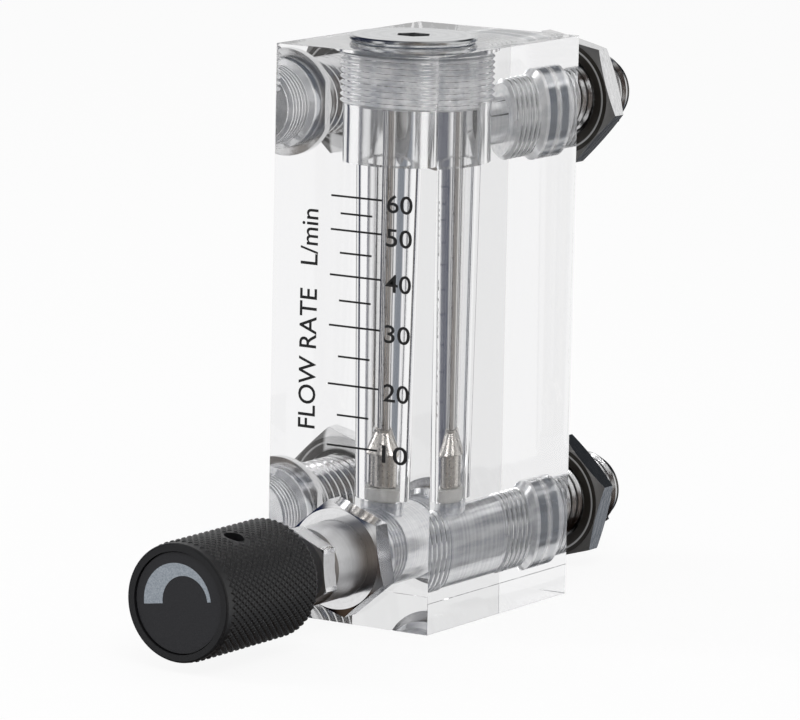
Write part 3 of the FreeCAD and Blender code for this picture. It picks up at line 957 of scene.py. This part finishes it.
def make_bonnet():
    """Bonnet: collar, hexagon and threaded core with its stem bores."""
    centre = (0, inlet_z_mm)
    hex_back_mm = front_mm - face_gap_mm
    recess_end_mm = front_mm + port_recess_mm
    core = [
        (packing_r_mm, bonnet_front_mm),
        (bonnet_collar_r_mm - lead_mm, bonnet_front_mm),
        (bonnet_collar_r_mm, bonnet_front_mm + lead_mm),
        (bonnet_collar_r_mm, front_mm - lead_mm),
        (fitting_neck_r_mm, front_mm - lead_mm),
        (fitting_neck_r_mm, recess_end_mm),
        (male_root_r_mm, recess_end_mm),
        (male_root_r_mm, bonnet_end_mm - lead_mm),
        (male_root_r_mm - lead_mm, bonnet_end_mm),
        (piston_bore_r_mm, bonnet_end_mm),
        (piston_bore_r_mm, piston_bore_start_mm),
        (stem_bore_r_mm, piston_bore_start_mm),
        (stem_bore_r_mm, packing_floor_mm),
        (packing_r_mm, packing_floor_mm),
    ]
    body = lathe(core, "Y", centre, chrome)
    prism = hexagon_prism(bonnet_flats_mm, (bonnet_hex_front_mm, hex_back_mm),
                          "Y", centre, bonnet_turn, chrome)
    face_r = bonnet_flats_mm / 2 * hex_face_ratio
    outer_r = hexagon_corner(bonnet_flats_mm) + cut_past_mm
    cone = [
        (bonnet_collar_r_mm - lead_mm, bonnet_hex_front_mm),
        (face_r, bonnet_hex_front_mm),
        (outer_r, bonnet_hex_front_mm + (outer_r - face_r) * hex_chamfer_slope),
        (outer_r, hex_back_mm),
        (bonnet_collar_r_mm - lead_mm, hex_back_mm),
    ]
    combine(prism, lathe(cone, "Y", centre, chrome), "INTERSECT")
    thread_ends = (recess_end_mm + groove_clear_mm, bonnet_end_mm - male_clear_mm)
    return join_threads("bonnet", [body, prism], [(male_ridge_mm, thread_ends)], "Y", centre, chrome)


# Knob

def make_knob():
    """Knob: plain front rim, knurled body, cap recess and the set screw's hole."""
    recess_floor_mm = knob_front_mm + cap_recess_mm
    rim_end_mm = knob_front_mm + knob_rim_mm
    core = [
        (0, recess_floor_mm),
        (cap_recess_r_mm, recess_floor_mm),
        (cap_recess_r_mm, knob_front_mm),
        (knob_rim_r_mm - lead_mm, knob_front_mm),
        (knob_rim_r_mm - knob_face_edge_mm, knob_front_mm + knob_face_edge_mm),
        (knob_rim_r_mm, knob_front_mm + lead_mm),
        (knob_rim_r_mm, rim_end_mm),
        (knob_core_r_mm, rim_end_mm + knob_rim_slope_mm),
        (knob_core_r_mm, knob_back_mm - knob_back_edge_mm),
        (knob_core_r_mm - knob_back_round_mm, knob_back_mm - knob_back_round_mm),
        (knob_core_r_mm - knob_back_edge_mm, knob_back_mm),
        (stem_bore_r_mm, knob_back_mm),
        (stem_bore_r_mm, knob_back_mm - knob_bore_mm),
        (0, knob_back_mm - knob_bore_mm),
    ]
    body = lathe(core, "Y", (0, inlet_z_mm), knob_black, steps=128)
    start = rim_end_mm + pips_front_clear_mm
    end = knob_back_mm - knob_back_edge_mm - pips_back_clear_mm
    middle_mm = (start + end) / 2
    outward = Vector((math.sin(set_screw_turn), 0, math.cos(set_screw_turn)))
    hole_mm = outward * knob_core_r_mm + Vector((0, set_screw_place_mm - middle_mm, 0))
    pip_width = pip_share * math.pi * knob_r_mm / pips_around
    pip_length = pip_share * (end - start) / pips_along
    knurl = grow(knurl_tree, {
        "Radius": (knob_core_r_mm - pip_root_mm) * MM,
        "Length": (end - start) * MM,
        "Pips Around": pips_around,
        "Pips Along": pips_along,
        "Pip Size": (pip_width * MM, pip_length * MM, pip_height_mm * MM),
        "Lean": math.pi / pips_around * (pips_along - 1),
        "Hole Place": hole_mm * MM,
        "Hole Radius": (set_screw_hole_r_mm + pips_hole_clear_mm) * MM,
        "Material": knob_black,
    })
    knurl.data.transform(Matrix.Translation(Vector((0, middle_mm, inlet_z_mm)) * MM))
    low, high = set_screw_hole_mm
    hole_profile = [(0, low), (set_screw_hole_r_mm, low), (set_screw_hole_r_mm, high), (0, high)]
    hole = lathe(hole_profile, "Z", (0, 0), knob_black, steps=32)
    tilt = Matrix.Rotation(set_screw_turn, 4, "Y")
    place = Vector((0, set_screw_place_mm, inlet_z_mm)) * MM
    hole.data.transform(Matrix.Translation(place) @ tilt)
    combine(body, hole)
    return join("knurled_knob", [body, knurl])


def crescent_point(radius, offset, angle):
    """Point of an arc on the cap, turned about the cap's middle."""
    x = offset * cap_r_mm + radius * cap_r_mm * math.cos(angle)
    z = radius * cap_r_mm * math.sin(angle)
    cosine = math.cos(crescent_turn)
    sine = math.sin(crescent_turn)
    return x * cosine + z * sine, z * cosine - x * sine


def make_crescent():
    """Tapering silver arc inlaid in the knob's cap."""
    steps = crescent_steps
    angles = [math.pi - step / steps * math.pi for step in range(steps + 1)]
    ring = [crescent_point(*arc, angle) for arc in (crescent_outer, crescent_inner) for angle in angles]
    near = cap_face_mm - crescent_proud_mm
    far = cap_face_mm + crescent_sunk_mm
    verts = [(x, y, inlet_z_mm + z) for y in (near, far) for x, z in ring]
    count = steps + 1
    layer = 2 * count
    faces = []
    for i in range(steps):
        faces.append((i, i + 1, count + i + 1, count + i))
        faces.append((layer + i, layer + count + i, layer + count + i + 1, layer + i + 1))
        faces.append((i, layer + i, layer + i + 1, i + 1))
        faces.append((count + i, count + i + 1, layer + count + i + 1, layer + count + i))
    faces.append((0, count, layer + count, layer))
    faces.append((steps, layer + steps, layer + count + steps, count + steps))
    return new_piece("crescent", verts, faces, crescent_grey)


# Scale

def bar(x0, x1, z0, z1):
    """Thin printed bar on the scale face."""
    near = front_mm - print_lift_mm
    far = front_mm + print_lift_mm / 2
    return [(x, y, z) for y in (near, far) for x, z in ((x0, z0), (x1, z0), (x1, z1), (x0, z1))]


def lettering(name, words, height_mm, centre_mm, upwards, length_mm):
    """Flat lettering on the scale face, as a mesh of a given height and length centred on a point."""
    text = bpy.data.curves.new(name, "FONT")
    text.body = words
    text.size = 1.0
    text.extrude = 0.0
    text.offset = letter_weight
    text.resolution_u = 4
    holder = add_object(name, text)
    mesh = evaluated_mesh(holder)
    bpy.data.objects.remove(holder)
    xs = [vert.co.x for vert in mesh.vertices]
    ys = [vert.co.y for vert in mesh.vertices]
    middle_x = (min(xs) + max(xs)) / 2
    middle_y = (min(ys) + max(ys)) / 2
    for vert in mesh.vertices:
        across = (vert.co.x - middle_x) * length_mm / (max(xs) - min(xs))
        above = (vert.co.y - middle_y) * height_mm / (max(ys) - min(ys))
        if upwards:
            across, above = -above, across
        vert.co = Vector((centre_mm[0] + across, front_mm - print_lift_mm, centre_mm[1] + above)) * MM
    mesh.materials.clear()
    mesh.materials.append(ink)
    return add_object(name, mesh)


def make_scale():
    """Printed marks, their numbers and a plain unit line."""
    verts = []
    faces = []
    numbers = []
    half = mark_width_mm / 2
    box = ((0, 1, 2, 3), (7, 6, 5, 4), (0, 4, 5, 1), (1, 5, 6, 2), (2, 6, 7, 3), (3, 7, 4, 0))
    for value, height in scale_marks:
        numbered = value % 10 == 0
        start, end = long_mark_mm if numbered else short_mark_mm
        base = len(verts)
        verts += bar(start, end, height - half, height + half)
        faces += [tuple(base + i for i in face) for face in box]
        if numbered:
            centre = (number_x_mm, height - number_drop_mm)
            numbers.append(lettering("number", str(value), digit_height_mm, centre, False, number_length_mm))
    marks = new_piece("marks", verts, faces, ink)
    unit = lettering("unit", "FLOW RATE   L/min", unit_height_mm, unit_centre_mm, True, unit_length_mm)
    return join("scale_print", [marks, *numbers, unit])


# Assembly

def settle(piece, body, slot, *nodes):
    """Piece rides on its body and stands for its nodes, which are hidden; the slot is not used."""
    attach(piece, body)
    if nodes:
        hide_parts(*nodes)


straight_bore = [(fitting_bore_r_mm, fitting_start_mm)]
pocket_bore = [
    (fitting_bore_r_mm, pocket_end_mm),
    (pocket_r_mm, pocket_end_mm),
    (pocket_r_mm, fitting_start_mm),
]
settle(make_block(), "housing", "clear_acrylic", "meter_block")
settle(make_stud("outlet_stud", outlet_z_mm, straight_bore, outlet_metal),
       "housing", "stud_metal", "outlet_fitting")
settle(make_stud("inlet_stud", inlet_z_mm, pocket_bore, inlet_metal),
       "housing", "stud_metal", "inlet_fitting")
settle(make_plug(), "housing", "plug_metal", "top_plug")
settle(make_bonnet(), "housing", "bright_chrome", "valve_bonnet")
settle(make_knob(), "knob", "black_aluminium", "knob")
settle(make_crescent(), "knob", "bright_chrome")
settle(make_scale(), "housing", "black_cap")

finishes = [
    (rubber, "top_plug_seal", "outlet_oring", "inlet_oring", "bonnet_oring", "stem_oring"),
    (steel, "guide_rod", "orifice_seat", "valve_stem"),
    (float_steel, "float"),
    (seat_white, "float_seat", "stem_packing"),
    (outlet_nut_metal, "outlet_nut"),
    (inlet_nut_metal, "inlet_nut"),
    (chrome, "gland_nut"),
    (cap_black, "knob_cap"),
    (knob_black, "knob_set_screw"),
]
for material, *node_names in finishes:
    for node_name in node_names:
        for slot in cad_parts[node_name].material_slots:
            slot.material = material


# Light, floor and background

def grey(level):
    """Plain grey of a brightness."""
    return (level, level, level)


white = (1, 1, 1, 1)
backdrop = grey(0.80)
side_grey = (0.80, 0.80, 0.79)
side_pale = grey(0.93)
deep_brown = (0.05, 0.035, 0.03)
flag_navy = (0.012, 0.018, 0.05)
flag_blue = (0.06, 0.07, 0.10)
flag_slate = (0.17, 0.19, 0.22)

# Angles off the line of sight in degrees, to the right of the backdrop positive
studio_sides = [
    (-180, (0.20, 0.17, 0.15)), (-176, deep_brown), (-158, deep_brown), (-150, side_grey),
    (-144, flag_blue), (-126, flag_blue), (-120, grey(0.95)), (-110, grey(1.0)),
    (-104, grey(0.7)), (-99, flag_navy), (-35, flag_navy), (-28, grey(0.3)), (-21, backdrop),
    (24, backdrop), (28, flag_slate), (52, flag_slate), (60, grey(0.9)), (76, grey(0.9)),
    (82, side_grey), (112, side_grey), (121, (0.28, 0.24, 0.21)), (138, grey(0.2)), (152, grey(0.2)),
    (162, (0.31, 0.26, 0.22)), (172, (0.26, 0.23, 0.19)), (180, (0.20, 0.17, 0.15)),
]

# The same for what the polished faces of the block mirror
inner_sides = [
    (-180, side_pale), (-60, side_pale), (-48, backdrop), (-45, flag_navy), (-28, flag_navy),
    (-25, backdrop), (30, backdrop), (60, side_pale), (180, side_pale),
]

# Heights off the level in degrees
studio_levels = [
    (-90, (0.05, 0.035, 0.025)), (-36, (0.08, 0.055, 0.04)), (-25, (0.40, 0.42, 0.45)),
    (-13, grey(0.9)), (-8, grey(1.0)), (14, grey(1.0)), (40, grey(0.8)), (90, grey(0.55)),
]

# Dark flag above on the right, with its share of light and its edges as distances between directions
high_flag = (0.59, 0.633, 0.5)
high_flag_edges = (0.22, 0.38)
high_flag_light = 0.15

# Light Path depths past which a ray has been mirrored, has crossed the tube's air, or is in the block
mirrored_depth = 0.5
crossed_depth = 2.5
entered_depth = 0.5

fill_strength = 0.6
lamp_target_m = Vector((0, 0, 0.07))
floor_half_m = 4.0
floor_white = 0.9
floor_shadow = 0.1


def add_ramp(tree, value, stops):
    """Colour ramp over a socket from (place, colour) stops, with the place between 0 and 1."""
    node = tree.nodes.new("ShaderNodeValToRGB")
    tree.links.new(value, node.inputs["Fac"])
    ramp = node.color_ramp
    while len(ramp.elements) > 1:
        ramp.elements.remove(ramp.elements[-1])
    ramp.elements[0].position = stops[0][0]
    ramp.elements[0].color = (*stops[0][1], 1)
    for place, colour in stops[1:]:
        ramp.elements.new(place).color = (*colour, 1)
    return node.outputs["Color"]


def mix_shaders(tree, factor, first, second):
    """Shader between two by a factor from 0 to 1."""
    return add_node(tree, "ShaderNodeMixShader", {"Fac": factor, 1: first, 2: second})[0]


def around(stops):
    """Stops of a ramp over the whole circle from stops in degrees."""
    return [(degrees / 360 + 0.5, colour) for degrees, colour in stops]


def by_height(stops):
    """Stops of a ramp over the sines of heights from stops in degrees."""
    return [(math.sin(math.radians(degrees)) / 2 + 0.5, colour) for degrees, colour in stops]


def make_world():
    """White for the camera; for glass and metal a studio with a white backdrop, pale sides and dark flags."""
    world = bpy.data.worlds.new("studio")
    bpy.context.scene.world = world
    world.use_nodes = True
    tree = world.node_tree
    tree.nodes.clear()
    direction = add_node(tree, "ShaderNodeVectorRotate", {
        "Vector": add_node(tree, "ShaderNodeTexCoord")["Generated"],
        "Angle": -math.radians(camera_azimuth),
    }, rotation_type="Z_AXIS")["Vector"]
    split = split_node(tree, direction)
    angle = math_node(tree, "ARCTAN2", split["X"], split["Y"])
    part = math_node(tree, "ADD", math_node(tree, "DIVIDE", angle, 2 * math.pi), 0.5)
    rise = math_node(tree, "ADD", times(tree, split["Z"], 0.5), 0.5)
    path = add_node(tree, "ShaderNodeLightPath")
    bounced = math_node(tree, "GREATER_THAN", path["Glossy Depth"], mirrored_depth)
    bent = math_node(tree, "GREATER_THAN", path["Transmission Depth"], crossed_depth)
    outside = math_node(tree, "LESS_THAN", path["Transmission Depth"], entered_depth)
    on_metal = times(tree, bounced, outside)
    reach = add_node(tree, "ShaderNodeVectorMath", {0: direction, 1: high_flag}, operation="DISTANCE")
    past_flag = spread(tree, reach["Value"], high_flag_light, 1.0, *high_flag_edges)
    shaded = add_node(tree, "ShaderNodeVectorMath", {
        0: add_ramp(tree, rise, by_height(studio_levels)),
        "Scale": past_flag,
    }, operation="SCALE")
    level = blend(tree, on_metal, grey(1), shaded["Vector"])
    studio = blend(tree, 1.0, add_ramp(tree, part, around(studio_sides)), level, "MULTIPLY")
    inner = blend(tree, bounced, backdrop, add_ramp(tree, part, around(inner_sides)))
    flagged = blend(tree, math_node(tree, "MAXIMUM", on_metal, bent), inner, studio)
    mirrored, seen, fill = (
        add_node(tree, "ShaderNodeBackground", {"Color": colour, "Strength": strength})[0]
        for colour, strength in ((flagged, 1.0), (white, 1.0), (white, fill_strength)))
    for_camera = mix_shaders(tree, path["Is Camera Ray"], mirrored, seen)
    for_fill = mix_shaders(tree, path["Is Diffuse Ray"], for_camera, fill)
    add_node(tree, "ShaderNodeOutputWorld", {"Surface": for_fill})


def make_lamp(name, place_m, size_m, watts):
    """Soft square lamp turned to the middle of the meter."""
    lamp = bpy.data.lights.new(name, "AREA")
    lamp.shape = "RECTANGLE"
    lamp.size, lamp.size_y = size_m
    lamp.energy = watts
    holder = add_object(name, lamp)
    ahead = lamp_target_m - Vector(place_m)
    holder.matrix_world = Matrix.Translation(place_m) @ ahead.to_track_quat("-Z", "Y").to_matrix().to_4x4()
    holder.visible_glossy = False


def make_floor():
    """Pale floor that shows white and keeps a soft shadow."""
    mesh = bpy.data.meshes.new("floor")
    corners = [(-1, -1), (1, -1), (1, 1), (-1, 1)]
    mesh.from_pydata([(x * floor_half_m, y * floor_half_m, 0) for x, y in corners], [], [(0, 1, 2, 3)])
    floor = add_object("floor", mesh)
    material, tree, shader = new_material("pale_floor")
    feed(tree, shader, {"Base Color": (floor_white, floor_white, floor_white, 1), "Roughness": 0.9})
    glow = add_node(tree, "ShaderNodeEmission", {"Color": white})
    plain = shader.outputs[0]
    seen = mix_shaders(tree, floor_shadow, glow[0], plain)
    path = add_node(tree, "ShaderNodeLightPath")
    shown = mix_shaders(tree, path["Is Camera Ray"], plain, seen)
    feed(tree, tree.nodes["Material Output"], {"Surface": shown})
    mesh.materials.append(material)
    floor.visible_glossy = False
    floor.visible_transmission = False


make_world()
make_lamp("key", (0.9, -1.1, 1.3), (0.8, 0.8), 14)
make_lamp("side", (-1.3, -0.6, 0.8), (0.5, 1.0), 8)
make_floor()
